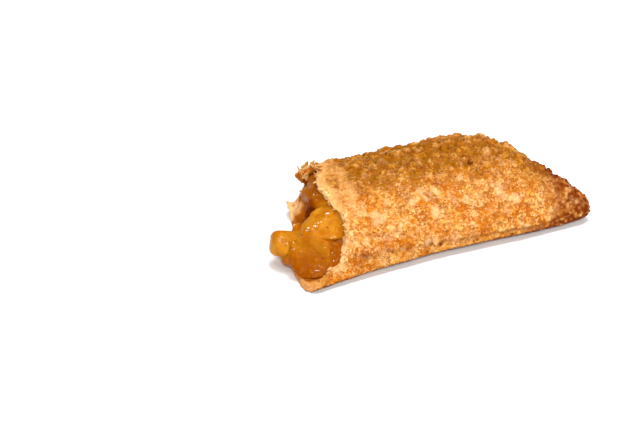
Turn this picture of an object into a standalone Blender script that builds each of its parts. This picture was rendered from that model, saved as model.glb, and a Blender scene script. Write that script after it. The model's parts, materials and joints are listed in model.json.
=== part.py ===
"""The larger half of a fried apple turnover, broken across, with its filling.

X runs along the folded edge towards the closed tip, Y from the folded edge to the sealed rim,
and Z up. The origin is the middle of the bounding box at the level the pastry lies on.

The crust is one sheet of dough, folded over and sealed: a shell that is open at the break.
The filling runs through it. The apple pieces that show at the break are solids of their own.
"""

import math

import bmesh
import bpy
import numpy as np
from mathutils import Matrix, Vector, noise

MM = 0.001

# The whole pastry
FOLD_LENGTH = 86 * MM  # folded edge, from the break to the tip
PASTRY_WIDTH = 45 * MM  # folded edge to sealed rim
PASTRY_HEIGHT = 18.5 * MM
SHEET = 2.2 * MM  # thickness of the fried dough
CLEARANCE = 0.3 * MM  # between solids that touch
BOX_MIDDLE = Vector((41.45 * MM, 20.3 * MM, 0))  # from the front corner of the break

# The tip
TIP_LENGTH = 35 * MM  # length over which the section shrinks to the tip's
TIP_WIDTH = 5.5 * MM
TIP_HEIGHT = 5.5 * MM
TIP_ROUND = 3 * MM
TIP_LIFT = 1.5 * MM  # how far the tip curls up
TIP_LIFT_LENGTH = 12 * MM
TIP_SET_BACK = 2.5 * MM  # how far the folded edge curves back there

# Departures from a straight fold
BELLY_RISE = 2.2 * MM  # how much higher the filling pushes the top up, past the middle
BELLY_MIDDLE = 62 * MM
BELLY_LENGTH = 17 * MM
EDGE_LIFT = 1.2 * MM  # the folded edge curls up off the table by this much
EDGE_LIFT_LENGTH = 40 * MM
SPLAY = 7 * MM  # how far the lower sheet spreads forward at the break
SPLAY_LENGTH = 50 * MM
LUMP_HEIGHT = 0.5 * MM
LUMP_SPACING = 9 * MM

# The hollow in the crust
SECTION_MIDDLE = (0.45, 0.42)  # shares of the width and the height
CAVITY_WIDTH_SHARE = 0.87  # the sheets are pressed together beyond this share of the width
CAVITY_END = 12 * MM  # solid dough behind the tip

# The break
TOOTH_DEPTH = 0.7 * MM
TOOTH_SPACING = 3.5 * MM
FILLING_SET_BACK = 1.5 * MM  # from the torn sheet to the filling's edge
FILLING_BULGE = Vector((-4 * MM, 0, 1.5 * MM))

# How finely the surfaces are divided
AROUND = 60
CRUST_RINGS = 24
CAVITY_RINGS = 12
FILLING_RINGS = 10
FACE_RINGS = 5
APPLE_AROUND = 22
APPLE_RINGS = 12

# The section across the pastry, from the underside round the folded edge, over the top and
# back under the sealed rim: share of the width, share of the height, and where the sheet is
# torn there, in millimetres from the front corner of the break.
SECTION = [
    (0.50, 0.00, 7.5),
    (0.30, 0.00, 2.5),
    (0.10, 0.00, 1.5),
    (0.02, 0.04, 3.0),
    (0.00, 0.12, 6.5),
    (0.01, 0.20, 10.5),
    (0.05, 0.38, 14.0),
    (0.15, 0.66, 16.0),
    (0.28, 0.88, 14.0),
    (0.40, 0.97, 13.0),
    (0.52, 1.00, 14.5),
    (0.66, 0.95, 17.0),
    (0.78, 0.80, 18.0),
    (0.88, 0.56, 15.0),
    (0.93, 0.44, 15.0),
    (0.985, 0.385, 18.5),
    (1.00, 0.30, 19.5),
    (0.975, 0.22, 17.5),
    (0.90, 0.14, 14.0),
    (0.80, 0.03, 10.5),
    (0.70, 0.00, 10.0),
]

# Apple pieces at the break: length, width and thickness, the middle from the front corner of
# the break, turns about X, Y and Z in degrees, and how far the ends bend down.
APPLE = {
    "apple_slice_top": ((17, 10.5, 7.5), (13.6, 13.8, 8.9), (28, -12, -10), 1.5),
    "apple_slice_low": ((14, 10.5, 7.4), (6.2, 5.2, 6.9), (6, 4, 35), 0.6),
    "apple_chunk_left": ((8, 7.5, 7.6), (1.6, 11.8, 6.2), (0, 15, 20), 0.5),
    "apple_chunk_back": ((14, 11, 8.5), (15.6, 23.0, 10.2), (30, 0, 10), 1.0),
}
APPLE_SQUARENESS = 0.85  # 1 is an ellipsoid, less is squarer
CORE_THINNING = 0.2  # how much thinner a wedge is towards its core side


def clear_scene():
    for item in list(bpy.data.objects):
        bpy.data.objects.remove(item)


def collection(name):
    made = bpy.data.collections.new(name)
    bpy.context.scene.collection.children.link(made)
    return made


def material(name, colour, roughness):
    made = bpy.data.materials.new(name)
    made.use_nodes = True
    shader = made.node_tree.nodes["Principled BSDF"]
    shader.inputs["Base Color"].default_value = (*colour, 1)
    shader.inputs["Roughness"].default_value = roughness
    shader.inputs["Metallic"].default_value = 0
    return made


def placed(name, data, group, finish):
    data.materials.append(finish)
    data.shade_smooth()
    data.set_sharp_from_angle(angle=math.radians(55))
    made = bpy.data.objects.new(name, data)
    group.objects.link(made)
    return made


def smooth_loop(points, samples):
    """Even steps along a closed Catmull-Rom curve through the points."""
    points = np.array(points, float)
    curve = []
    for i in range(len(points)):
        a, b, c, d = (points[(i + k - 1) % len(points)] for k in range(4))
        for t in np.linspace(0, 1, 12, endpoint=False):
            cubic = 2 * a - 5 * b + 4 * c - d + t * (3 * (b - c) + d - a)
            curve.append(b + 0.5 * t * (c - a + t * cubic))
    curve = np.array(curve + curve[:1])
    size = np.array([PASTRY_WIDTH, PASTRY_HEIGHT])
    lengths = np.linalg.norm(np.diff(curve[:, :2] * size, axis=0), axis=1)
    reached = np.concatenate([[0], np.cumsum(lengths)])
    wanted = np.linspace(0, reached[-1], samples, endpoint=False)
    return np.stack([np.interp(wanted, reached, column) for column in curve.T], axis=1)


def fullness(x, length, power):
    """0 at the tip, 1 from this length behind it on."""
    share = np.clip((FOLD_LENGTH - x) / length, 0, 1)
    return 1 - (1 - share) ** power


def fading(x, length, power):
    """1 at the break, 0 from this length past it on."""
    return np.clip(1 - x / length, 0, 1) ** power


def section_line(shares, x, inset):
    """Y and Z of every point of the section at x, this far inside the outer surface."""
    across, up = shares[:, 0], shares[:, 1].clip(0)
    grown = fullness(x, TIP_LENGTH, 2.1)
    rounding = math.sqrt(fullness(x, TIP_ROUND, 2))
    end = 0.3 + 0.7 * rounding
    width = (TIP_WIDTH + (PASTRY_WIDTH - TIP_WIDTH) * grown) * end
    height = (TIP_HEIGHT + (PASTRY_HEIGHT - TIP_HEIGHT) * grown) * end
    height += BELLY_RISE * math.exp(-(((x - BELLY_MIDDLE) / BELLY_LENGTH) ** 2))

    low_front = (1 - up / 0.45).clip(0) * (1 - across / 0.45).clip(0)
    edge = (1 - up / 0.6).clip(0) * (1 - across / 0.25).clip(0)
    y = across * width - SPLAY * fading(x, SPLAY_LENGTH, 1.6) * low_front
    z = up * height + EDGE_LIFT * (1 - fading(x, EDGE_LIFT_LENGTH, 2)) * edge
    z += TIP_LIFT * (1 - fullness(x, TIP_LIFT_LENGTH, 1)) ** 2
    line = np.stack([y, z], axis=1)
    if inset:
        line = drawn_in(line, width, height, inset)

    set_back = TIP_SET_BACK * (1 - fullness(x, 0.8 * TIP_LENGTH, 1.5)) + 2 * MM * (1 - rounding)
    return line + np.array([set_back, 0])


def drawn_in(line, width, height, inset):
    """The section's line drawn towards its middle, and held off where the sheets are sealed."""
    middle = np.array(SECTION_MIDDLE) * (width, height)
    out = line - middle
    along = np.roll(line, -1, axis=0) - np.roll(line, 1, axis=0)
    normal = np.stack([-along[:, 1], along[:, 0]], axis=1)
    normal /= np.linalg.norm(normal, axis=1)[:, None]
    depth = np.abs((out * normal).sum(axis=1))
    keep = (1 - inset / depth).clip(0.15)
    reach = CAVITY_WIDTH_SHARE * width - middle[0] - inset
    keep = np.where(out[:, 0] > 0, np.minimum(keep, reach / out[:, 0].clip(MM)), keep)
    for _ in range(2):
        keep = (np.roll(keep, 1) + 2 * keep + np.roll(keep, -1)) / 4
    return middle + out * keep[:, None]


def ring(shares, xs, inset=0.0):
    return [Vector((x, *section_line(shares, x, inset)[i])) for i, x in enumerate(xs)]


def lumpy(points):
    """Slow lumps in the surface, none of them on the underside."""
    moved = []
    for p in points:
        out = Vector((0, p.y - PASTRY_WIDTH / 2, p.z - PASTRY_HEIGHT / 2)).normalized()
        above = min(1, max(0, p.z / (4 * MM)))
        moved.append(p + out * LUMP_HEIGHT * above * noise.noise(p / LUMP_SPACING))
    return moved


def torn_line(shares, seed, depth):
    """Where the sheet ends at each point of the section, with its teeth."""
    xs = []
    for across, up, torn in shares:
        place = Vector((across * PASTRY_WIDTH, up * PASTRY_HEIGHT, 0)) / TOOTH_SPACING
        xs.append(torn * MM + depth * noise.noise(place + Vector((0, 0, seed))))
    return np.array(xs)


def average(points):
    return sum(points, Vector()) / len(points)


def loft(name, rings, first_pole, last_pole):
    """A closed surface through rings of equal count, with a pole at each end."""
    mesh = bmesh.new()
    rows = [[mesh.verts.new(p) for p in points] for points in rings]
    for near, far in zip(rows, rows[1:]):
        for i in range(len(near)):
            j = (i + 1) % len(near)
            mesh.faces.new((near[i], near[j], far[j], far[i]))
    for row, pole in ((rows[0], first_pole), (rows[-1], last_pole)):
        middle = mesh.verts.new(pole)
        for i in range(len(row)):
            mesh.faces.new((row[i], row[(i + 1) % len(row)], middle))
    bmesh.ops.recalc_face_normals(mesh, faces=mesh.faces)
    data = bpy.data.meshes.new(name)
    mesh.to_mesh(data)
    mesh.free()
    return data


def steps(count):
    return [i / count for i in range(count + 1)]


def crust(group):
    """Outer surface from the tip to the tear, then the hollow from the tear to its end."""
    shares = smooth_loop(SECTION, AROUND)
    torn = torn_line(shares, 0.0, TOOTH_DEPTH)
    torn_inside = torn_line(shares, 4.0, TOOTH_DEPTH) + 0.4 * MM
    tip = FOLD_LENGTH - 0.3 * MM
    cavity_end = FOLD_LENGTH - CAVITY_END
    outer = []
    for s in steps(CRUST_RINGS):
        closer = 1 - (1 - s) ** 1.35  # rings crowd together towards the tip
        outer.append(lumpy(ring(shares, torn + (tip - torn) * closer)))
    inner = []
    for s in steps(CAVITY_RINGS):
        inner.append(ring(shares, torn_inside + (cavity_end - torn_inside) * s, SHEET))
    rings = list(reversed(outer)) + inner
    data = loft("crust", rings, average(outer[-1]), average(inner[-1]))
    return placed("crust", data, group, material("fried_dough", (0.78, 0.38, 0.10), 0.6))


def filling(group):
    """The gel: a core that fits the hollow, and a face that bulges out of the break."""
    shares = smooth_loop(SECTION, AROUND)
    start = torn_line(shares, 0.0, 0.0) + FILLING_SET_BACK
    end = FOLD_LENGTH - CAVITY_END - 3 * MM
    inset = SHEET + CLEARANCE
    body = [ring(shares, start + (end - start) * s, inset) for s in steps(FILLING_RINGS)]
    middle = average(body[0])
    face = []
    for k in range(1, FACE_RINGS + 1):
        share = k / (FACE_RINGS + 1)
        push = FILLING_BULGE * math.sin(share * math.pi / 2)
        face.append([p.lerp(middle, share) + push for p in body[0]])
    rings = list(reversed(face)) + body
    data = loft("filling", rings, middle + FILLING_BULGE, average(body[-1]))
    return placed("filling", data, group, material("fruit_gel", (0.60, 0.25, 0.02), 0.15))


def apple_mesh(name, size, bend, grow):
    """A wedge of cooked apple: rounded, thinner along its core side, its ends bent down."""
    half = [0.5 * side * MM + grow for side in size]
    lying = Matrix.Rotation(math.pi / 2, 4, "Y")
    mesh = bmesh.new()
    bmesh.ops.create_uvsphere(
        mesh, u_segments=APPLE_AROUND, v_segments=APPLE_RINGS, radius=1, matrix=lying
    )
    for vertex in mesh.verts:
        along = vertex.co.x
        fuller = math.sqrt(1 + along**2)
        y, z = (
            math.copysign(abs(value) ** APPLE_SQUARENESS * fuller, value)
            for value in (vertex.co.y, vertex.co.z)
        )
        z *= 1 - CORE_THINNING * (1 - y)
        vertex.co = (half[0] * along, half[1] * y, half[2] * z - bend * MM * along**2)
    data = bpy.data.meshes.new(name)
    mesh.to_mesh(data)
    mesh.free()
    return data


def apple_piece(name, group, grow=0.0):
    size, middle, turns, bend = APPLE[name.removesuffix("_cutter")]
    finish = material(name, (0.72, 0.36, 0.04), 0.2)
    made = placed(name, apple_mesh(name, size, bend, grow), group, finish)
    made.location = Vector(middle) * MM
    made.rotation_euler = [math.radians(turn) for turn in turns]
    return made


def apple_cutter(piece, group):
    cutter = apple_piece(piece.name + "_cutter", group, CLEARANCE)
    cutter.hide_render = True
    cutter.display_type = "WIRE"
    return cutter


def cut(piece, cutter):
    boolean = piece.modifiers.new(cutter.name, "BOOLEAN")
    boolean.operation = "DIFFERENCE"
    boolean.solver = "EXACT"
    boolean.object = cutter


def main():
    clear_scene()
    parts = collection("apple_turnover_half")
    cutters = collection("cutters")
    origin = bpy.data.objects.new("origin", None)
    origin.location = -BOX_MIDDLE
    parts.objects.link(origin)

    shell = crust(parts)
    core = filling(parts)
    pieces = [apple_piece(name, parts) for name in APPLE]
    pressed = [apple_cutter(piece, cutters) for piece in pieces]
    for i, cutter in enumerate(pressed):
        for other in [core] + pieces[i + 1 :]:
            cut(other, cutter)
    for item in [shell, core] + pieces + pressed:
        item.parent = origin


main()
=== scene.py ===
import json
import math
import random

import bmesh
import bpy
import numpy as np
from mathutils import Matrix, Vector
from mathutils.bvhtree import BVHTree
from mathutils.kdtree import KDTree

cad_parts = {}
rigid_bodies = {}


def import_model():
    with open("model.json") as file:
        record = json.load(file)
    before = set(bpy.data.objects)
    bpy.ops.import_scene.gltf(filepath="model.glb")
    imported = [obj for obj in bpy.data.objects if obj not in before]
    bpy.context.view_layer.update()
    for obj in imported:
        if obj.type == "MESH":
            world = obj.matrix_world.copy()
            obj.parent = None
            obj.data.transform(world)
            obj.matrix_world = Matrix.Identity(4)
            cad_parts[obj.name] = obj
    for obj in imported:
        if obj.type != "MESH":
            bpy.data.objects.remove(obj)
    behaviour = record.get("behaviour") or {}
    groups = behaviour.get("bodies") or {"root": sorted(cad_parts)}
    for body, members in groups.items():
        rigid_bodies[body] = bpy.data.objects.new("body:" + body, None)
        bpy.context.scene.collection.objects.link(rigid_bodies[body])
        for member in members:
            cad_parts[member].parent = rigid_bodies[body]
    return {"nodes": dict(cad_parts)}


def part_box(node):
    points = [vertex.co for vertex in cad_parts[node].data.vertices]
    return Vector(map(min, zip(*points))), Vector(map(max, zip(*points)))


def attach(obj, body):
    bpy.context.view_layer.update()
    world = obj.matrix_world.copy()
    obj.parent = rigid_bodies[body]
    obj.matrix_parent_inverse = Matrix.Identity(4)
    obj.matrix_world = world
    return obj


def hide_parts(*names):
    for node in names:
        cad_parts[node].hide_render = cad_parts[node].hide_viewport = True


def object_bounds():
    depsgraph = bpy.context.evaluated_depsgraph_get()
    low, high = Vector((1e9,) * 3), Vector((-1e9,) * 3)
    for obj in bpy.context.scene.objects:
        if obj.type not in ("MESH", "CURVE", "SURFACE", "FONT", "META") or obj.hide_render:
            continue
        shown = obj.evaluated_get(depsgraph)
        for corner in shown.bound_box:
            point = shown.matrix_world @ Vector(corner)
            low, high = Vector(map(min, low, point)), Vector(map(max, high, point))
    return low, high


# a fried apple turnover, broken open at one end, on a pale floor
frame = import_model()
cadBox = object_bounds()
mm = 0.001
randoms = random.Random(7)  # the same draws each run
print("frame loaded:", len(frame["nodes"]), "nodes")


# number fields over points, all in millimetres

def hashed(corner, seed):
    # three even random numbers, 0 to 1, for each whole-number corner
    word = 0xFFFFFFFF
    x, y, z = (corner[:, k].astype(np.int64) for k in range(3))
    mixed = (x * 374761393 + y * 668265263 + z * 2147483029 + seed * 974711) & word
    out = []
    for k in range(3):
        mixed = ((mixed ^ (mixed >> 15)) * (2246822519 + 2 * k)) & word
        mixed = ((mixed ^ (mixed >> 13)) * 3266489917) & word
        mixed = mixed ^ (mixed >> 16)
        out.append(mixed / word)
    return np.stack(out, axis=1)


def waves(places, spacing, seed, octaves=1):
    # smooth noise, about -1 to 1
    total = np.zeros(len(places))
    size = 1.0
    for octave in range(octaves):
        p = places / (spacing * size) + 17.3 * (seed + octave)
        base = np.floor(p)
        inside = p - base
        fade = inside ** 3 * (inside * (inside * 6 - 15) + 10)
        sums = np.zeros(len(places))
        for corner in range(8):
            step = np.array([corner & 1, corner >> 1 & 1, corner >> 2 & 1])
            slope = hashed(base + step, seed + octave) * 2 - 1
            weight = np.prod(np.where(step, fade, 1 - fade), axis=1)
            sums += weight * (slope * (inside - step)).sum(axis=1)
        total += sums * 1.6 * size
        size *= 0.5
    return total


def bubbles(places, spacing, seed, smallest, largest, share=1.0):
    # round bubbles of random size: their height in mm, how near the top of its bubble
    # each point is, and a random number that is the same all over one bubble
    p = places / spacing + 5.1 * seed
    base = np.floor(p)
    height = np.zeros(len(p))
    onTop = np.zeros(len(p))
    own = np.zeros(len(p))
    for i in range(27):
        step = np.array([i % 3, i // 3 % 3, i // 9]) - 1
        chance = hashed(base + step, seed)
        number = (chance[:, 0] * 7.31 + chance[:, 1] * 3.17) % 1
        radius = np.where(number < share, smallest + (largest - smallest) * chance[:, 2], 1e-6)
        away = np.linalg.norm(base + step + 0.1 + 0.8 * chance - p, axis=1) * spacing
        dome = np.sqrt(np.clip(radius ** 2 - away ** 2, 0, None))
        higher = dome > height
        height = np.where(higher, dome, height)
        onTop = np.where(higher, dome / radius, onTop)
        own = np.where(higher, chance[:, 1], own)
    return height, onTop, own


def warped(places, spacing, by, seed):
    # the same points, pushed about so that round cells turn ragged
    push = [waves(places, spacing, seed + 50 * k) for k in range(3)]
    return places + by * np.stack(push, axis=1)


def ramp(values, low, high):
    # a smooth step from 0 at low to 1 at high
    t = np.clip((values - low) / (high - low), 0, 1)
    return t * t * (3 - 2 * t)


def hump(values, width):
    # 1 at 0, falling away on both sides
    return np.exp(-(values / width) ** 2)


def nearest(places, targets, limit):
    # distance from each point to the nearest target, up to a limit
    tree = KDTree(len(targets))
    for i, target in enumerate(targets):
        tree.insert(target, i)
    tree.balance()
    return np.array([min(limit, tree.find(place)[2]) for place in places])


class Fields:
    # holds number fields over the same points by name
    pass


# meshes

def cadMesh(node):
    made = bmesh.new()
    made.from_mesh(frame["nodes"][node].data)
    bmesh.ops.remove_doubles(made, verts=made.verts, dist=0.002 * mm)
    return made


def grown(made, by):
    made.normal_update()
    for vertex, normal in [(v, v.normal.copy()) for v in made.verts]:
        vertex.co += normal * by


def cutAway(made, place, facing):
    # clears what lies past a plane, on the side that it faces, and closes the cut
    found = bmesh.ops.bisect_plane(
        made, geom=made.verts[:] + made.edges[:] + made.faces[:],
        plane_co=place, plane_no=facing, clear_outer=True
    )
    edges = [g for g in found["geom_cut"] if isinstance(g, bmesh.types.BMEdge)]
    bmesh.ops.holes_fill(made, edges=edges)


def hull(corners):
    # the closed shape round a few corners, with its faces divided
    made = bmesh.new()
    for corner in corners:
        made.verts.new(corner)
    bmesh.ops.convex_hull(made, input=made.verts[:])
    bmesh.ops.delete(made, geom=[v for v in made.verts if not v.link_faces], context="VERTS")
    bmesh.ops.subdivide_edges(made, edges=made.edges[:], cuts=3, use_grid_fill=True)
    return made


def blob(middle, halves, turn):
    made = bmesh.new()
    bmesh.ops.create_icosphere(made, subdivisions=4, radius=1)
    place = Matrix.Translation(Vector(middle) * mm) @ Matrix.Rotation(math.radians(turn), 4, "Z")
    place = place @ Matrix.Diagonal((*(Vector(halves) * mm), 1))
    made.transform(place)
    return made


def joined(parts):
    made = bmesh.new()
    for part in parts:
        data = bpy.data.meshes.new("part")
        part.to_mesh(data)
        made.from_mesh(data)
        bpy.data.meshes.remove(data)
        part.free()
    return made


def newObject(name, made):
    data = bpy.data.meshes.new(name)
    made.to_mesh(data)
    made.free()
    item = bpy.data.objects.new(name, data)
    bpy.context.scene.collection.objects.link(item)
    return item


def withModifiers(item):
    # the mesh that the modifiers make takes the place of the object's own
    shaped = bpy.data.meshes.new_from_object(item.evaluated_get(bpy.context.evaluated_depsgraph_get()))
    item.modifiers.clear()
    old = item.data
    item.data = shaped
    bpy.data.meshes.remove(old)
    shaped.name = item.name


def skinned(item, size, smoothing):
    # one even skin round everything in the mesh
    skin = item.modifiers.new("skin", "REMESH")
    skin.mode = "VOXEL"
    skin.voxel_size = size
    even = item.modifiers.new("even", "SMOOTH")
    even.factor = 0.5
    even.iterations = smoothing
    withModifiers(item)


def remeshed(name, made, size, smoothing):
    item = newObject(name, made)
    skinned(item, size, smoothing)
    return item


def thinned(item, coarse, ratio):
    # fewer faces where coarse is 1
    group = item.vertex_groups.new(name="coarse")
    for vertex, weight in zip(item.data.vertices, coarse):
        if weight > 0.01:
            group.add([vertex.index], float(weight), "REPLACE")
    less = item.modifiers.new("less", "DECIMATE")
    less.ratio = ratio
    less.vertex_group = "coarse"
    less.vertex_group_factor = 1000
    withModifiers(item)
    item.vertex_groups.clear()


def vectors(item, which):
    flat = np.empty(len(item.data.vertices) * 3, np.float32)
    item.data.vertices.foreach_get(which, flat)
    return flat.reshape(-1, 3).astype(float)


def points(item):
    return vectors(item, "co") / mm


def normals(item):
    return vectors(item, "normal")


def moveTo(item, placed):
    item.data.vertices.foreach_set("co", (placed * mm).astype(np.float32).ravel())
    item.data.update()


def paint(item, name, values):
    layer = item.data.attributes.new(name, "FLOAT", "POINT")
    layer.data.foreach_set("value", np.clip(values, 0, 1).astype(np.float32))


def finished(item, finish, slot, *replaced):
    item.data.materials.clear()
    item.data.materials.append(finish)
    item.data.shade_smooth()
    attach(item, "root")
    if replaced:
        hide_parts(*replaced)
    item.data.calc_loop_triangles()
    print(item.name, len(item.data.loop_triangles), "triangles")


# shader building

def colour(r, g, b):
    # sRGB 0-255 to linear
    return tuple(((c / 255 + 0.055) / 1.055) ** 2.4 if c > 10 else c / 3294 for c in (r, g, b)) + (1,)


class Nodes:
    # one material, with a method for each kind of node that the finishes use
    def __init__(self, name):
        self.material = bpy.data.materials.new(name)
        self.material.use_nodes = True
        self.tree = self.material.node_tree
        self.shader = self.tree.nodes["Principled BSDF"]
        self.place = self.tree.nodes.new("ShaderNodeTexCoord").outputs["Object"]

    def link(self, value, socket):
        if isinstance(value, bpy.types.NodeSocket):
            self.tree.links.new(value, socket)
        else:
            socket.default_value = value

    def painted(self, name):
        node = self.tree.nodes.new("ShaderNodeAttribute")
        node.attribute_name = name
        return node.outputs["Fac"]

    def grain(self, spacing, detail=2.0, roughness=0.5):
        node = self.tree.nodes.new("ShaderNodeTexNoise")
        self.link(self.place, node.inputs["Vector"])
        node.inputs["Scale"].default_value = 1 / (spacing * mm)
        node.inputs["Detail"].default_value = detail
        node.inputs["Roughness"].default_value = roughness
        return node.outputs["Fac"]

    def cells(self, spacing):
        node = self.tree.nodes.new("ShaderNodeTexVoronoi")
        self.link(self.place, node.inputs["Vector"])
        node.inputs["Scale"].default_value = 1 / (spacing * mm)
        return node.outputs["Distance"]

    def fit(self, value, low, high, toLow=0.0, toHigh=1.0):
        # a smooth step from toLow where the value is low to toHigh where it is high
        node = self.tree.nodes.new("ShaderNodeMapRange")
        node.interpolation_type = "SMOOTHSTEP"
        values = (value, low, high, toLow, toHigh)
        for socket, v in zip(("Value", "From Min", "From Max", "To Min", "To Max"), values):
            self.link(v, node.inputs[socket])
        return node.outputs["Result"]

    def math(self, kind, a, b=0):
        node = self.tree.nodes.new("ShaderNodeMath")
        node.operation = kind
        self.link(a, node.inputs[0])
        self.link(b, node.inputs[1])
        return node.outputs[0]

    def blend(self, share, a, b):
        node = self.tree.nodes.new("ShaderNodeMix")
        node.data_type = "RGBA"
        # the colour sockets come after the number and vector ones
        self.link(share, node.inputs[0])
        self.link(a, node.inputs[6])
        self.link(b, node.inputs[7])
        return node.outputs[2]

    def bump(self, height, depth, after=None):
        node = self.tree.nodes.new("ShaderNodeBump")
        node.inputs["Strength"].default_value = 1
        node.inputs["Distance"].default_value = depth * mm
        self.link(height, node.inputs["Height"])
        if after is not None:
            self.link(after, node.inputs["Normal"])
        return node.outputs["Normal"]

    def set(self, **values):
        for name, value in values.items():
            self.link(value, self.shader.inputs[name.replace("_", " ")])


# crust: x runs along the pastry from the break to the tip, y from the front seam to the back, z up

crust = {
    "size": 0.275,  # of the skin's faces
    "kept": 0.635,  # share of the faces left when the base and the pocket are thinned
    "middle": 7.8,  # height of the middle line of the hollow
    "pocket": -21.0,  # the dough is solid past this place along the pastry
    "core": 0.6,  # how far the filling's own solid grows to close the hollow there
    "near": -12.0,  # nothing of the break lies past this place
    "tornEnd": (-20, -14),  # the torn dough and the hollow's wall fade out between these
    "sunk": 0.62,  # how far the skin sinks before its bubbles lift it
    "swell": 0.35,  # height of the slowest waves in the skin
    "lump": 0.4,  # and of the shorter ones
    "blisters": dict(spacing=4.4, smallest=1.2, largest=2.6, share=0.6),
    "blisterHeight": 0.36,
    "popcorn": dict(spacing=2.3, smallest=0.7, largest=1.5, share=0.9),
    "popcornHeight": 0.55,
    "beads": dict(spacing=1.0, smallest=0.3, largest=0.7),
    "beadHeight": 0.7,
    # the rougher, darker back half: where it fades in across the pastry, its skew and its wander
    "back": dict(across=(-13.5, -2.5), skew=0.06, wander=2.5),
    # the pressed front seam: its height, its fall along the pastry, its wander, depth and width
    "seam": dict(height=4.6, fall=-0.05, wander=0.5, depth=0.6, width=0.45),
    "lip": 3.4,  # width of the smooth dough beside the break
    "lipHeight": (11, 16),  # where it fades in, going up
    # the back wall at the break stands back by so much, between its foot and its top
    "notch": dict(by=1.5, across=(11, 15), foot=(1.2, 2.6), top=(3, 7), along=(19, 25)),
    # where the floor curls up beside it, how far, how wide, and the height of what counts as floor
    "curl": dict(place=(-31.6, 14.4), by=3.2, reach=(0.8, 3.6), pale=(2.8, 4.8), floor=3.5),
    "softTop": 0.45,  # bubbles are pressed down to stay this close to the part's full height
    # pale blisters: middle and radius
    "pale": [((-16.5, -13.8, 12.0), 2.4), ((-1.2, -15.0, 11.3), 2.0), ((-3.0, -20.0, 5.8), 1.5),
             ((21.5, -15.3, 11.0), 1.9), ((8.0, -14.0, 12.6), 1.3), ((-30.2, -20.4, 4.2), 2.4)],
    # burst bubbles: middle and radius
    "burst": [((12.6, -5.8, 18.6), 0.85), ((22.4, -3.6, 18.6), 0.65), ((-3.0, 6.0, 18.6), 0.7),
              ((20.0, 12.0, 14.0), 0.8)],
    # fried darkest at the tip and the back edge, which fade in between these places
    "tip": (24, 39),
    "backEdge": (18, 23),
    # how brown each place is; on the band below the seam, most at its foot, the brown is partly painted
    # shade
    "brownAndShade": dict(tip=1.0, lower=0.2, foot=0.35, edge=0.5, under=0.8, patch=0.3, seam=0.35, back=0.2),
    "look": {
        "golden": (210, 124, 10),
        "peach": (239, 171, 74),
        "pale": (245, 191, 106),
        "amber": (174, 82, 0),
        "pore": (134, 54, 0),
        "olive": (164, 104, 0),
        "beige": (222, 153, 44),
        "cream": (247, 203, 146),
        "brown": (116, 44, 0),
        "dark": (80, 28, 0),
        "lipDough": (238, 172, 102),
        "torn": (244, 192, 128),
        "soaked": (188, 104, 12),
        "gelStain": (156, 80, 2),
    },
}


def crustMaterial():
    n = Nodes("friedCrust")
    look = {name: colour(*value) for name, value in crust["look"].items()}
    # slow tone, pale patches and cream ones, darker between the bubbles
    front = n.blend(n.fit(n.grain(7, 2), 0.38, 0.62), look["golden"], look["peach"])
    front = n.blend(n.fit(n.grain(2.8, 4, 0.65), 0.48, 0.62, 0, 0.95), front, look["pale"])
    front = n.blend(n.fit(n.grain(5, 4, 0.6), 0.56, 0.66, 0, 0.6), front, look["cream"])
    front = n.blend(n.painted("high"), n.blend(0.55, front, look["amber"]), front)
    behind = n.blend(n.fit(n.grain(5, 2), 0.38, 0.62), look["olive"], look["beige"])
    behind = n.blend(n.painted("high"), look["olive"], behind)
    base = n.blend(n.painted("back"), front, behind)
    # orange veins and fine pores in clusters
    ridge = n.math("ABSOLUTE", n.math("SUBTRACT", n.grain(2.4, 4, 0.65), 0.5))
    base = n.blend(n.fit(ridge, 0.0, 0.05, 0.6, 0), base, look["amber"])
    clusters = n.fit(n.grain(3.6, 2), 0.42, 0.6, 0.15, 1)
    pores = n.fit(n.grain(0.7, 3, 0.85), 0.48, 0.39, 0, 0.95)
    base = n.blend(n.math("MULTIPLY", pores, clusters), base, look["pore"])
    # the lip, pale blisters, and cream flecks that are painted glints
    lipCover = n.fit(n.grain(0.9, 3, 0.75), 0.38, 0.5, 0.35, 0.95)
    base = n.blend(n.math("MULTIPLY", n.painted("lip"), lipCover), base, look["lipDough"])
    speckled = n.fit(n.grain(0.5, 3, 0.8), 0.36, 0.56, 0.45, 1)
    base = n.blend(n.math("MULTIPLY", n.painted("cream"), speckled), base, look["cream"])
    # cream flecks as painted glints, fewer on the back half
    glintFlecks = n.fit(n.grain(0.6, 3, 0.8), 0.55, 0.62, 0, 0.9)
    glintFlecks = n.math("MULTIPLY", glintFlecks, n.fit(n.grain(4.5, 2), 0.4, 0.6, 0.3, 1))
    glintFlecks = n.math("MULTIPLY", glintFlecks, n.fit(n.painted("back"), 0, 1, 1, 0.6))
    base = n.blend(glintFlecks, base, look["cream"])
    base = n.blend(n.painted("brown"), base, look["brown"])
    # painted shade in the deepest grooves, with dark spots and darker patches along the seam
    base = n.blend(n.painted("dark"), base, look["dark"])
    # torn dough, partly soaked, and the stained wall inside
    crumb = n.fit(n.grain(0.9, 3, 0.7), 0.4, 0.6, 0, 0.4)
    dough = n.blend(n.painted("soaked"), look["torn"], n.blend(crumb, look["soaked"], look["brown"]))
    base = n.blend(n.painted("torn"), base, dough)
    base = n.blend(n.painted("inside"), base, look["gelStain"])
    normal = n.bump(n.grain(0.5, 2, 0.7), 0.35)
    normal = n.bump(n.cells(0.6), 0.15, normal)
    shine = n.fit(n.grain(0.9, 2), 0.4, 0.6, 0.25, 0.6)
    n.set(Base_Color=base, Roughness=shine, Normal=normal, Specular_IOR_Level=0.03)
    n.set(Subsurface_Weight=0.08, Subsurface_Radius=(1.0, 0.45, 0.12), Subsurface_Scale=1.5 * mm)
    n.set(Coat_Weight=0.04, Coat_Roughness=0.12)
    return n.material


def gelEnd(p):
    # how far the filling comes out of the break
    across, along = zip(*filling["ends"])
    return np.interp(p[:, 1], across, along)


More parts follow.
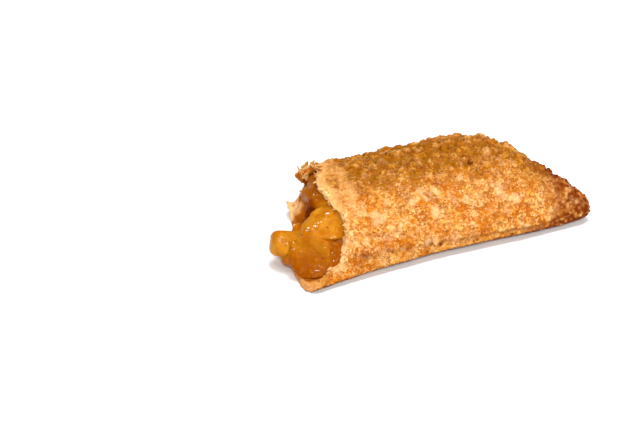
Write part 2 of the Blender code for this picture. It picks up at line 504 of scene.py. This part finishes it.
def towardMiddle(p, n):
    # how much each normal points to the middle line of the hollow, and how far away that is
    way = (0, crust["middle"]) - p[:, 1:]
    return (way * n[:, 1:]).sum(axis=1), np.linalg.norm(way, axis=1)


def crustSkin():
    core = cadMesh("filling")
    grown(core, crust["core"] * mm)
    cutAway(core, (crust["pocket"] * mm, 0, 0), (-1, 0, 0))
    item = remeshed("crustSkin", joined([cadMesh("crust"), core]), crust["size"] * mm, 1)
    # the base and what the filling hides need few faces
    p, n = points(item), normals(item)
    pocket = (p[:, 0] < crust["near"]) * (p[:, 0] > gelEnd(p) + 2)
    hidden = pocket * (np.maximum(towardMiddle(p, n)[0], -n[:, 0]) > 0.3)
    base = ramp(-n[:, 2], 0.8, 0.95) * (p[:, 2] < 2)
    thinned(item, np.maximum(base, hidden), crust["kept"])
    return item


def crustZones(p, n):
    # where each sort of surface is, 0 to 1
    on = Fields()
    x, y, z = p.T
    nearBreak = 1 - ramp(x, *crust["tornEnd"])
    facing, away = towardMiddle(p, n)
    on.torn = nearBreak * ramp(-n[:, 0], 0.3, 0.6)
    on.inside = nearBreak * (1 - on.torn) * ramp(facing / away, 0.05, 0.3)
    on.under = ramp(-n[:, 2], 0.5, 0.9) * (1 - on.inside)
    on.skin = (1 - on.torn) * (1 - on.inside) * (1 - on.under)
    half = crust["back"]
    on.back = ramp(y + half["skew"] * x + half["wander"] * waves(p, 9, 3), *half["across"])
    on.back *= ramp(n[:, 2], -0.4, 0.2)
    seam = crust["seam"]
    on.aboveSeam = z - (seam["height"] + seam["fall"] * x + seam["wander"] * waves(p, 8, 18))  # in mm
    on.lower = (1 - ramp(on.aboveSeam, -0.5, 0.5)) * (y < 0)
    on.near = x < crust["near"]
    gap = nearest(p[on.near], p[on.near & (on.torn > 0.5)], 2 * crust["lip"])
    gap += 0.8 * waves(p[on.near], 2.5, 30)
    on.lip = np.zeros(len(p))
    on.lip[on.near] = 1 - ramp(gap, 0.4 * crust["lip"], crust["lip"])
    on.lip *= ramp(z, *crust["lipHeight"]) * on.skin
    on.smooth = (1 - 0.6 * on.lower) * (1 - 0.7 * on.lip)
    return on


def friedSkin(p, on):
    # swellings, blisters, popcorn and beads: how far they lift the skin, and where their tops are
    fried = Fields()
    pushed = warped(p, 1.1, 0.5, 60)
    lift = crust["swell"] * waves(p, 13, 1) + crust["lump"] * waves(p, 5, 2)
    cells = warped(p, 2.6, 1.2, 70)
    blister, fried.blisterTop, fried.blisterOwn = bubbles(cells, seed=4, **crust["blisters"])
    cells = warped(pushed, 1.8, 0.7, 80)
    popcorn, fried.popcornTop, fried.popcornOwn = bubbles(cells, seed=5, **crust["popcorn"])
    bead, fried.beadTop = bubbles(pushed, seed=6, **crust["beads"])[:2]
    lift += crust["blisterHeight"] * blister * (0.25 + 0.75 * on.back)
    lift += crust["popcornHeight"] * popcorn * (0.3 + 0.7 * on.back) * on.smooth
    crisply = 0.4 + 0.6 * ramp(waves(p, 6, 90, 2), -0.4, 0.4)
    lift += crust["beadHeight"] * bead * (0.8 - 0.2 * on.back) * on.smooth * crisply
    fried.crisp = waves(p, 0.55, 7)
    lift += 0.2 * fried.crisp * (1 - 0.5 * on.lip) + 0.1 * on.lip * waves(p * (1, 0.4, 1), 1.2, 31)
    lift -= crust["sunk"]
    fried.pale = np.zeros(len(p))
    for middle, radius in crust["pale"]:
        away = np.linalg.norm(p - middle, axis=1) / radius + 0.35 * waves(p, 1.4, 33)
        fried.pale = np.maximum(fried.pale, 1 - ramp(away, 0.35, 1.1))
    # a burst bubble is a hole with a raised ring
    fried.burst = np.zeros(len(p))
    for middle, radius in crust["burst"]:
        away = np.linalg.norm(p - middle, axis=1) / radius + 0.15 * waves(p, 0.8, 34)
        hole = 1 - ramp(away, 0.75, 1.05)
        lift = lift * (1 - hole) + 0.3 * hump(away - 1.25, 0.3) - 1.3 * radius * hole
        fried.burst = np.maximum(fried.burst, hole)
    fried.lift = (lift + 0.3 * fried.pale) * on.skin
    return fried


def shapedCrust(p, n, on, lift):
    x, y, z = p.T
    # the pressed seam, the torn dough and the wall inside
    seam, notch = crust["seam"], crust["notch"]
    pressed = 0.35 + 0.65 * ramp(waves(p, 9, 39), -0.3, 0.5)
    lift = lift - seam["depth"] * pressed * hump(on.aboveSeam, seam["width"]) * on.skin * (y < 0)
    thick = ramp(z, 2, 5)
    lift += on.torn * thick * (0.3 * waves(p, 1.6, 8) + 0.15 * waves(p, 0.8, 9))
    lift += on.inside * 0.12 * waves(p, 1.6, 10)
    placed = p + n * lift[:, None]
    placed[:, 0] -= on.torn * (0.3 + 0.6 * thick) * np.abs(waves(p, 1.6, 11))
    # the base lies flat with an uneven edge, and the top stays near the part's own height
    lowEdge = on.under * (z < 2) * 0.12 * (1 + waves(p, 2.2, 12))
    over = np.maximum(placed[:, 2] - cadBox[1][2] / mm, 0)
    placed[:, 2] = np.maximum(placed[:, 2], 0.0) + lowEdge - over
    placed[:, 2] += crust["softTop"] * np.tanh(over / crust["softTop"])
    # the back wall is torn back between its foot and its top
    gone = ramp(y, *notch["across"]) * ramp(z, *notch["foot"])
    gone = gone * (1 - ramp(z, *notch["top"])) * ramp(-x, *notch["along"])
    placed[:, 0] += notch["by"] * gone
    return placed


def floorCurl(p, on):
    # how far the floor curls up beside the notch, and how pale its dough is there
    curl = crust["curl"]
    away = np.hypot(p[:, 0] - curl["place"][0], p[:, 1] - curl["place"][1])
    onFloor = p[:, 2] < curl["floor"]
    up = (1 - ramp(away, *curl["reach"])) * onFloor * (1 + 0.3 * waves(p, 1.5, 37))
    pale = (1 - ramp(away + 0.6 * waves(p, 1.8, 38), *curl["pale"])) * onFloor * (1 - on.skin)
    return curl["by"] * up, pale


def paintCrust(item, p, on, fried, flap):
    x, y, z = p.T
    tip = ramp(x + 3 * waves(p, 7, 13) + 0.25 * (8 - z), *crust["tip"])
    edge = ramp(y, *crust["backEdge"])
    patch = ramp(waves(p, 5, 15, 2), 0.1, 0.6)
    foot = 1 - ramp(z, 0.6, 2.4)
    nearSeam = hump(on.aboveSeam, 1.3) * (y < 0)
    share = crust["brownAndShade"]
    # the band below the seam faces down and is browned partly as painted shade, most at its foot by the
    # floor
    brown = share["tip"] * tip + (share["lower"] + share["foot"] * foot) * on.lower
    brown = brown + share["edge"] * edge + share["under"] * on.under + share["patch"] * patch
    brown = brown + share["seam"] * nearSeam + share["back"] * on.back
    paint(item, "brown", brown * (1 - on.torn) * (0.7 + 0.7 * waves(p, 1.2, 16)) * (1 - on.lip))
    paint(item, "back", on.back * (0.85 + 0.5 * waves(p, 3, 17)))

    # bubble tops are light and the grooves between them amber, with painted shade in the deepest grooves
    high = ramp(fried.beadTop + 0.5 * fried.crisp, 0.0, 0.8) * (1 - on.back)
    high = high + on.back * ramp(fried.popcornTop + 0.6 * fried.crisp, 0.1, 0.9)
    paint(item, "high", np.maximum(high, 1 - on.skin * on.smooth))
    # painted shade in the deepest grooves between the bubbles, then darker patches along the seam, dark
    # spots and darker burst holes
    dark = 1 - ramp(fried.popcornTop + fried.beadTop + 0.4 * fried.crisp, 0.0, 0.4)
    dark = dark * (0.1 + 0.2 * on.back)
    dark += 0.5 * hump(on.aboveSeam, 0.5) * (y < 0) * ramp(waves(p, 2.5, 19), -0.2, 0.5)
    dark += 0.8 * ramp(waves(p, 1.1, 32), 0.62, 0.8) * (0.3 + 0.7 * np.maximum(on.back, tip))
    paint(item, "dark", (dark * on.smooth + 0.55 * fried.burst) * on.skin * (1 - fried.pale))
    cream = ramp(fried.blisterTop + 0.8 * waves(p, 1.2, 35), 0.4, 1.1)
    cream = cream * (0.2 + 0.5 * fried.blisterOwn) * (1 - on.back * 0.7)
    bigTop = ramp(fried.popcornTop + 0.4 * fried.crisp, 0.6, 1) * (fried.popcornOwn > 0.7)
    cream += 0.5 * bigTop * (1 - 0.3 * on.back)
    cream = cream * (1 - tip) * (1 - on.lower) * (1 - on.lip) + 0.65 * fried.pale
    paint(item, "cream", cream * on.skin * (1 - fried.burst))

    # the break: smooth lip, torn dough that the juice soaks away from its outer edge
    paint(item, "lip", on.lip)
    paint(item, "torn", np.maximum(on.torn, flap))
    farIn = 3.0
    edgeGap = np.full(len(p), farIn)
    cut = on.torn > 0.3
    edgeGap[cut] = nearest(p[cut], p[on.near & (on.skin > 0.6)], farIn)
    inner = ramp(edgeGap + 0.3 * waves(p, 1.2, 36), 0.4, 1.0)
    soaked = ramp(y + 1.5 * waves(p, 3, 20), -2, 6) * (0.25 + 0.75 * inner)
    paint(item, "soaked", np.maximum(soaked, 0.6 * ramp(-x, 33, 36)) * (1 - flap))
    paint(item, "inside", on.inside * (1 - flap))


def makeCrust():
    item = crustSkin()
    p, n = points(item), normals(item)
    on = crustZones(p, n)
    fried = friedSkin(p, on)
    placed = shapedCrust(p, n, on, fried.lift)
    up, flap = floorCurl(p, on)
    placed[:, 2] += up
    moveTo(item, placed)
    paintCrust(item, p, on, fried, flap)
    finished(item, crustMaterial(), "crust", "crust")
    return placed[(on.torn > 0.8) & (p[:, 2] > 1)]


# gel and apple

filling = {
    "size": 0.3,  # of the gel's faces
    "deep": (140, 66, 0),
    "light": (186, 104, 2),
    "strand": (226, 160, 36),
    "shade": (116, 44, 2),
    "patch": 3.5,  # spacing of its light and deep patches
    "bumps": [(2.2, 0.2), (0.7, 0.14)],  # spacing and depth
    "core": 0.35,  # how far the part's own filling grows
    "overlap": 3.0,  # how far the gel reaches past the crust's pocket
    "free": (-26, -20),  # the gel's surface is even past these places
    "meniscus": 1.2,  # how far the gel creeps up in the corners
    # corners of the mass that slopes from the ledge down to the lip
    "mass": [(-39.7, -12.2, 9.0), (-41.5, -15.6, 4.8), (-40.5, -18.3, 1.5), (-35.3, -20.9, 2.3),
             (-31.2, -20.5, 4.0), (-28.8, -19.0, 6.8), (-28.8, -16.5, 9.0), (-34.7, -13.0, 9.4),
             (-38.6, -10.0, 1.8), (-29.0, -12.0, 2.5), (-36.0, -9.0, 7.0)],
    # more gel round the fruit, in mm: middle, half sizes, turn
    "pools": [
        ((-37.0, -10.0, 5.2), (3.0, 3.2, 2.8), 0),
        ((-40.2, -11.6, 3.7), (2.3, 2.1, 1.7), 0),
        ((-33.5, -5.0, 4.6), (3.0, 3.0, 2.6), 20),
        ((-25.5, 5.5, 8.5), (3.2, 4.8, 4.4), 0),
        ((-28.6, 0.5, 8.0), (2.6, 3.2, 3.6), 0),
    ],
    # small bits of fruit under the gel: how many, how far in, half sizes
    "dice": dict(count=14, depth=(0, 0.8), half=(1.0, 2.0)),
    # how far the gel comes out at each place across the break
    "ends": [(-6.0, -42.0), (-2.5, -34.5), (1.0, -29.5), (6.0, -28.0), (14.0, -25.0)],
    "recess": ((-31, -0.5, 10.5), 4),  # the shaded hollow behind the big slice: middle and radius
    "rimShade": ((-32, -29), (8, 13)),  # painted shade in the deep colour where the gel meets the front rim: along, and toward the front
}

fruit = {
    "size": 0.28,  # of the faces
    "flesh": (188, 113, 6),
    "pale": (206, 140, 30),
    "deep": (146, 72, 0),
    "patch": 3.0,
    "bumps": [(2.4, 0.25), (0.7, 0.16)],
    "sunk": 0.4,  # how far the gel lies inside the fruit
    # each piece: how deep its colour is, how uneven it is, and its knife-cut corners, as shares
    # of its box either side of the middle; one with no corners is rounded and has flats cut on it
    "pieces": {
        "apple_slice_top": dict(depth=0.25, uneven=1, corners=[
            (-1.05, -0.71, 0.07), (-0.37, -0.60, 0.73), (0.35, -0.32, 1.31), (-0.93, -0.07, 0.19),
            (-0.43, 0.32, 0.65), (0.30, 0.57, 1.02), (-1.13, -0.78, -0.18), (-0.72, -1.14, 0.03),
            (-0.25, -1.38, -0.02), (0.30, -1.38, -0.14), (-0.79, 0.04, -0.56), (0.30, 0.39, -0.14),
            (0.30, -0.85, -0.56)]),
        "apple_slice_low": dict(depth=0.6, uneven=0.35, corners=[
            (-0.45, 0.47, 0.88), (0.06, 0.20, 1.15), (0.53, -0.25, 0.80), (0.58, -0.56, -1.02),
            (0.27, -0.57, -1.53), (-0.45, -0.16, -1.86), (-0.64, 0.28, -1.20), (-0.63, 0.44, -0.46),
            (-0.38, 0.73, -0.43), (0.60, 0.34, -0.58), (0.18, -0.34, -1.83), (-0.38, -0.04, -1.83)]),
        "apple_chunk_left": dict(depth=0.25, uneven=1, corners=[]),
        "apple_chunk_back": dict(depth=0.85, uneven=1, corners=[
            (-0.63, 0.63, 0.34), (-0.58, -0.21, 0.44), (-0.35, -0.68, 0.53), (-0.32, -0.03, 0.90),
            (-0.01, 0.81, 0.80), (0.27, -0.57, 0.99), (-0.55, 0.41, -0.26), (-0.38, -0.50, -0.03),
            (0.56, 0.89, -0.35), (0.70, -0.75, -0.35), (0.27, -0.97, 0.11)]),
    },
    # the flats: how far out, and the way they face
    "flats": [(0.8, (-0.2, -0.7, 0.8)), (0.85, (-1, 0.3, 0.2)), (0.8, (0.2, 0.8, 0.6))],
}


def wetMaterial(name, deep, light, patch, bumps):
    n = Nodes(name)
    flesh, pale = colour(*fruit["flesh"]), colour(*fruit["pale"])
    beside = tuple(0.85 * a + 0.15 * b for a, b in zip(flesh, pale))
    base = n.blend(n.fit(n.grain(patch, 3), 0.35, 0.65), colour(*deep), colour(*light))
    base = n.blend(n.painted("nearFruit"), base, beside)
    # the painted deep colour; on the gel it is partly painted shade
    base = n.blend(n.painted("deep"), base, colour(*fruit["deep"]))
    strands = n.fit(n.grain(1.0, 3, 0.6), 0.52, 0.75, 0, 0.2)
    base = n.blend(strands, base, colour(*filling["strand"]))
    base = n.blend(n.painted("shaded"), base, colour(*filling["shade"]))
    normal = None
    for spacing, depth in bumps:
        normal = n.bump(n.grain(spacing, 2), depth, normal)
    rough = n.fit(n.grain(1.5, 2), 0.4, 0.65, 0.08, 0.22)
    n.set(Base_Color=base, Roughness=rough, Normal=normal, Specular_IOR_Level=0.03)
    n.set(Subsurface_Weight=0.5, Subsurface_Radius=(1.0, 0.5, 0.08), Subsurface_Scale=2.5 * mm)
    n.set(Coat_Weight=0.1, Coat_Roughness=0.02)
    return n.material


def cutFruit(node):
    low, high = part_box(node)
    middle, half = (low + high) / 2, (high - low) / 2
    corners = fruit["pieces"][node]["corners"]
    if corners:
        return hull(middle + Vector(corner) * half for corner in corners)
    made = cadMesh(node)
    for share, facing in fruit["flats"]:
        facing = Vector(facing).normalized()
        reach = max((v.co - middle).dot(facing) for v in made.verts)
        cutAway(made, middle + facing * reach * share, facing)
    return made


def setBack(p):
    # the gel's front face stands where the filling ends
    end = gelEnd(p) + 0.7 * waves(p, 3.2, 23) + 0.25 * waves(p, 1.3, 24)
    placed = p.copy()
    placed[:, 0] = np.where(p[:, 0] < end, end + 0.1 * (p[:, 0] - end), p[:, 0])
    return placed


def gelParts():
    core = cadMesh("filling")
    grown(core, filling["core"] * mm)
    cutAway(core, ((crust["pocket"] + filling["overlap"]) * mm, 0, 0), (1, 0, 0))
    parts = [core, hull(Vector(corner) * mm for corner in filling["mass"])]
    for node in fruit["pieces"]:
        piece = cutFruit(node)
        grown(piece, -fruit["sunk"] * mm)
        parts.append(piece)
    parts += [blob(*pool) for pool in filling["pools"]]
    dice = filling["dice"]
    faces = [face for face in core.faces if face.normal.x < -0.4]  # those at the break
    for i in range(dice["count"]):
        middle = randoms.choice(faces).calc_center_median() / mm
        middle += Vector((randoms.uniform(*dice["depth"]), 0, 0))
        halves = [randoms.uniform(*dice["half"]) for axis in range(3)]
        parts.append(blob(middle, halves, randoms.uniform(0, 180)))
    return parts


def makeGel(fruitPoints):
    # swollen, joined, smoothed and shrunk back, which rounds the inner corners
    parts = gelParts()
    for part in parts:
        grown(part, filling["meniscus"] * mm)
    item = remeshed("fillingGel", joined(parts), 1.3 * filling["size"] * mm, 8)
    moveTo(item, setBack(points(item) - filling["meniscus"] * normals(item)))
    skinned(item, filling["size"] * mm, 4)
    p, n = points(item), normals(item)
    free = 1 - ramp(p[:, 0], *filling["free"])
    lift = free * (0.25 * waves(p, 3.2, 21) + 0.1 * waves(p, 1.3, 22))
    placed = p + n * lift[:, None]
    moveTo(item, placed)
    x, y, z = placed.T
    paint(item, "nearFruit", 1 - ramp(nearest(placed, fruitPoints, 3), 0.3, 1.8))
    along, across = filling["rimShade"]
    rimShade = ramp(x, *along) * ramp(-y, *across)
    # deep colour: darker toward the front and the floor, and painted shade toward the back wall of the
    # pocket and by the front rim
    paint(item, "deep", np.maximum(0.85 * ramp(-y - z, 2, 11), ramp(y, -2, 3)) + rimShade)
    middle, radius = filling["recess"]
    recess = np.linalg.norm((placed - middle) / radius, axis=1)
    paint(item, "shaded", 0.9 * (1 - ramp(recess + 0.3 * waves(placed, 2, 25), 0.6, 1.4)))
    look = [filling[key] for key in ("deep", "light", "patch", "bumps")]
    finished(item, wetMaterial("fruitGel", *look), "filling", "filling")


def makeFruit():
    look = [fruit[key] for key in ("flesh", "pale", "patch", "bumps")]
    finish = wetMaterial("cookedApple", *look)
    skins = []
    for i, (node, piece) in enumerate(fruit["pieces"].items()):
        item = remeshed("piece_" + node, cutFruit(node), fruit["size"] * mm, 9)
        p, n = points(item), normals(item)
        lift = piece["uneven"] * (0.3 * waves(p, 3.8, 31 + i) + 0.14 * waves(p, 1.5, 41 + i)) + 0.2
        placed = p + n * lift[:, None]
        moveTo(item, placed)
        paint(item, "deep", piece["depth"] + 0.3 * waves(p, 4, 44))
        finished(item, finish, "apple", node)
        skins.append(placed)
    return np.concatenate(skins)


# flakes, crumbs, spice and sugar at the break, and white grains as painted glints on the apple

bits = {
    # torn layers: how many, their sizes, how far they tilt and bend, how deep they are rooted in
    # the rim as a share of their length, and how far in or out of it they lie
    "flakes": dict(count=52, length=(1.6, 3.0), width=(1.6, 4.2), thickness=0.28,
                   tilt=0.25, bend=(-0.12, 0.16), rooted=0.6, off=(-0.8, 0.4)),
    "clean": (8, 9),  # none on the back wall: past this place across, up to this height
    "flatBelow": 2.5,  # the base's layers, up to this height, lie flat
    # single shards: where each is rooted, the way it points, and how many times longer it is
    "shards": [((-26.2, 18.4, 10.8), (-0.35, 0.1, 1), 2.0), ((-29.0, -20.2, 4.6), (-0.9, -0.3, 0.2), 1),
               ((-30.0, -20.3, 3.9), (-0.8, -0.3, 0.4), 1), ((-28.2, -19.6, 5.6), (-0.8, -0.2, 0.5), 1),
               ((-31.2, -20.8, 3.4), (-0.9, -0.4, 0.1), 1), ((-27.6, -19.2, 6.6), (-0.9, -0.2, 0.3), 1),
               ((-28.6, 15.5, 2.8), (-0.8, -0.5, 0.5), 1.3), ((-29.5, 14.0, 2.2), (-0.9, -0.2, 0.3), 1.2)],
    "uneven": (0.6, 1.25),  # how far a grain's corners stand out, times its size
    "crumbs": dict(count=60, size=(0.2, 0.5), scatter=0.2),
    # spice and sugar lie where a ray along into, aimed at a place in the box, meets the filling
    "into": (0.7, 0.55, -0.45),
    "spice": dict(count=26, size=(0.08, 0.2), box=((-40, -18, 3), (-26, 8, 12))),
    "sugar": dict(count=8, size=(0.09, 0.22), box=((-29, -19, 3), (-26, -12, 9))),
    # white grains along the edges of the apple as painted glints: from, to, how many, how far off the line
    "glintGrainLines": [((-35.8, -10.6, 10.4), (-31.6, -9.8, 12.8), 14, 0.7),
              ((-29.8, -9.2, 13.6), (-25.6, -8.4, 15.6), 14, 0.5),
              ((-28.6, -3.0, 14.4), (-26.0, 8.0, 13.5), 16, 1.0),
              ((-39.8, -11.6, 9.0), (-38.5, -15.5, 6.0), 10, 1.2),
              ((-28.4, -14.5, 8.5), (-31.5, -19.2, 5.0), 8, 0.8)],
    # two colours for each sort of bit
    "look": {
        "dough": ((246, 200, 132), (214, 140, 52)),
        "crumb": ((240, 186, 112), (206, 134, 50)),
        "spice": ((80, 26, 6), (124, 52, 14)),
        "sugar": ((250, 244, 228), (240, 224, 190)),
    },
}


def bitMaterial(name, look, rough, depth):
    n = Nodes(name)
    first, second = bits["look"][look]
    base = n.blend(n.fit(n.grain(0.8, 3, 0.7), 0.4, 0.6), colour(*first), colour(*second))
    normal = n.bump(n.grain(0.4, 2, 0.6), depth)
    n.set(Base_Color=base, Roughness=n.fit(n.grain(0.6), 0.35, 0.65, rough, rough + 0.25), Normal=normal)
    n.set(Specular_IOR_Level=0.3, Coat_Weight=0.3, Coat_Roughness=0.15)
    return n.material


def surfaceFrame(place):
    # outward from the middle line of the hollow, and along the rim
    up = Vector((0, 0, 1))
    if place.z > bits["flatBelow"]:
        up = Vector((0, place.y + 0.05, place.z - crust["middle"])).normalized()
    side = up.cross(Vector((-1, 0, 0))).normalized()
    return up, side


def flake(place, spread, out=None, longer=1):
    # a thin torn layer, rooted in the rim and ragged at its free edge
    up, side = surfaceFrame(place)
    tilt = spread["tilt"]
    out = Vector(out or (-1, randoms.uniform(-tilt, tilt), randoms.uniform(-tilt, tilt))).normalized()
    length = longer * randoms.uniform(*spread["length"])
    width = randoms.uniform(*spread["width"])
    bend = randoms.uniform(*spread["bend"])
    seed = randoms.randrange(1000)
    start = place - out * length * spread["rooted"] + up * randoms.uniform(*spread["off"])
    made = bmesh.new()
    bmesh.ops.create_grid(made, x_segments=12, y_segments=8, size=0.5)
    at = np.array([v.co for v in made.verts])
    across, forward = at[:, 0] * width, at[:, 1] + 0.5
    ragged = 0.75 + 0.4 * waves(np.stack([across, 0 * across + seed, 0 * across], axis=1), 0.9, 51, 2)
    narrow = 1 - 0.45 * forward ** 2
    reach = forward * length * ragged * np.sqrt(np.clip(1 - (at[:, 0] * 1.7) ** 2, 0.1, 1))
    wave = 0.16 * waves(np.stack([across, reach, 0 * across + seed], axis=1), 1.1, 52)
    for vertex, a, r, w, thin in zip(made.verts, across, reach, wave, narrow):
        vertex.co = (start + side * a * thin + out * r + up * (bend * r * r + w)) * mm
    return made


def makeFlakes(rim):
    spread = bits["flakes"]
    backFrom, upTo = bits["clean"]
    roots = [place for place in rim if place[1] < backFrom or place[2] > upTo]
    parts = [flake(Vector(randoms.choice(roots)), spread) for i in range(spread["count"])]
    parts += [flake(Vector(place), spread, out, longer) for place, out, longer in bits["shards"]]
    item = newObject("tornFlakes", joined(parts))
    shell = item.modifiers.new("shell", "SOLIDIFY")
    shell.thickness = spread["thickness"] * mm
    shell.offset = 0
    withModifiers(item)
    placed = points(item)
    placed[:, 2] = np.maximum(placed[:, 2], 0.05)
    moveTo(item, placed)
    finished(item, bitMaterial("tornDough", "dough", 0.45, 0.2), "crust")


def grains(name, places, sizes, finish, slot, flat=True):
    # small uneven grains, half sunk where they lie
    parts = []
    for place in places:
        made = bmesh.new()
        bmesh.ops.create_icosphere(made, subdivisions=1 if flat else 2, radius=randoms.uniform(*sizes))
        for vertex in made.verts:
            vertex.co *= randoms.uniform(*bits["uneven"])
        made.transform(Matrix.Rotation(randoms.uniform(0, 6), 4, Vector((0.3, 0.5, randoms.random()))))
        made.transform(Matrix.Diagonal((mm, mm, mm, 1)))
        made.transform(Matrix.Translation(place * mm))
        parts.append(made)
    item = newObject(name, joined(parts))
    finished(item, finish, slot)
    if flat:
        item.data.shade_flat()


def scattered(tree, sort):
    # places on the filling, seen from outside the break
    toward = Vector(bits["into"]).normalized()
    farOut = 40  # mm
    low, high = sort["box"]
    found = []
    while len(found) < sort["count"]:
        target = Vector([randoms.uniform(a, b) for a, b in zip(low, high)])
        hit = tree.ray_cast((target - toward * farOut) * mm, toward)
        if hit[0] is not None:
            found.append(hit[0] / mm)
    return found


def offset(by):
    # a random step of up to so many mm each way
    return Vector([randoms.uniform(-by, by) for axis in range(3)])


def makeBits(rim):
    wet = bmesh.new()
    for item in bpy.data.objects:
        if item.name == "fillingGel" or item.name.startswith("piece_"):
            wet.from_mesh(item.data)
    tree = BVHTree.FromBMesh(wet)
    wet.free()
    spice, sugar, crumbs = bits["spice"], bits["sugar"], bits["crumbs"]
    places = scattered(tree, spice)
    finish = bitMaterial("groundSpice", "spice", 0.5, 0.1)
    grains("spiceSpecks", places, spice["size"], finish, "filling", flat=False)
    places = scattered(tree, sugar)
    # white grains along the apple's edges, as painted glints
    for start, end, count, off in bits["glintGrainLines"]:
        for i in range(count):
            place = Vector(start).lerp(Vector(end), randoms.random()) + offset(off)
            places.append(tree.find_nearest(place * mm)[0] / mm)
    # the sugar and the painted glint grains share one white finish
    grains("sugarGrains", places, sugar["size"], bitMaterial("sugar", "sugar", 0.15, 0.05), "crust")
    places = [Vector(randoms.choice(rim)) + offset(crumbs["scatter"]) for i in range(crumbs["count"])]
    grains("crustCrumbs", places, crumbs["size"], bitMaterial("crustCrumb", "crumb", 0.45, 0.2), "crust")


# stage

stage = {
    # the camera's place round the pastry in degrees, what it looks at and from how far, in mm
    "azimuth": -21.0,
    "elevation": 30.0,
    "distance": 450.0,
    "aim": (-33.7, -16.5, 18.3),
    "lens": 101.25,
    "sensor": 36.0,
    "floor": dict(half=3, grey=0.93, roughness=0.9),
    "sky": 0.16,
    # power in watts, places and sizes in metres
    "lights": {
        "key": dict(place=(-0.75, -1.9, 1.5), size=0.3, power=35),
        "fill": dict(place=(1.3, -1.4, 1.1), size=0.9, power=16),
        "top": dict(place=(0.1, -0.1, 2.4), size=0.6, power=24),
        "rimGlint": dict(place=(1.0, 0.6, 1.7), size=0.08, power=4),
        "leftGlint": dict(place=(-1.2, 0.1, 1.8), size=0.08, power=3),
    },
    # a ring of small lamps for the glints on wet fruit
    "glints": dict(count=9, ring=0.45, middle=(-0.3, -0.4, 2.0), size=0.035, power=1.6),
}


def makeCamera():
    data = bpy.data.cameras.new("camera")
    item = bpy.data.objects.new("camera", data)
    bpy.context.scene.collection.objects.link(item)
    around, above = math.radians(stage["azimuth"]), math.radians(stage["elevation"])
    flat = math.cos(above)
    back = Vector((math.sin(around) * flat, -math.cos(around) * flat, math.sin(above)))
    item.location = Vector(stage["aim"]) * mm + back * stage["distance"] * mm
    item.rotation_euler = back.to_track_quat("Z", "Y").to_euler()
    data.lens = stage["lens"]
    data.sensor_width = stage["sensor"]
    data.clip_start = 0.01
    bpy.context.scene.camera = item
    print("camera placed")


def areaLight(name, place, size, power):
    data = bpy.data.lights.new(name, "AREA")
    data.size = size
    data.energy = power
    item = bpy.data.objects.new(name, data)
    item.location = place
    item.rotation_euler = (Vector(place) - Vector((0, 0, 0.01))).to_track_quat("Z", "Y").to_euler()
    bpy.context.scene.collection.objects.link(item)


def makeFloor():
    plain = stage["floor"]
    made = bmesh.new()
    bmesh.ops.create_grid(made, x_segments=8, y_segments=8, size=plain["half"])
    floor = newObject("floor", made)
    n = Nodes("paleFloor")
    n.set(Base_Color=(plain["grey"],) * 3 + (1,), Roughness=plain["roughness"])
    floor.data.materials.append(n.material)
    print("floor laid")


def makeLight():
    world = bpy.data.worlds.new("studio")
    bpy.context.scene.world = world
    world.use_nodes = True
    background = world.node_tree.nodes["Background"]
    background.inputs["Color"].default_value = (1, 1, 1, 1)
    background.inputs["Strength"].default_value = stage["sky"]
    for name, light in stage["lights"].items():
        areaLight(name, **light)
    glints = stage["glints"]
    for i in range(glints["count"]):
        turn = 2 * math.pi * i / glints["count"]
        aside = glints["ring"] * Vector((math.cos(turn), 0, math.sin(turn)))
        areaLight(f"glint{i}", Vector(glints["middle"]) + aside, glints["size"], glints["power"])
    bpy.context.scene.view_settings.view_transform = "Standard"
    print("lights on:", len(stage["lights"]) + glints["count"])


makeCamera()
makeFloor()
makeLight()
rim = makeCrust()
makeGel(makeFruit())
makeFlakes(rim)
makeBits(rim)
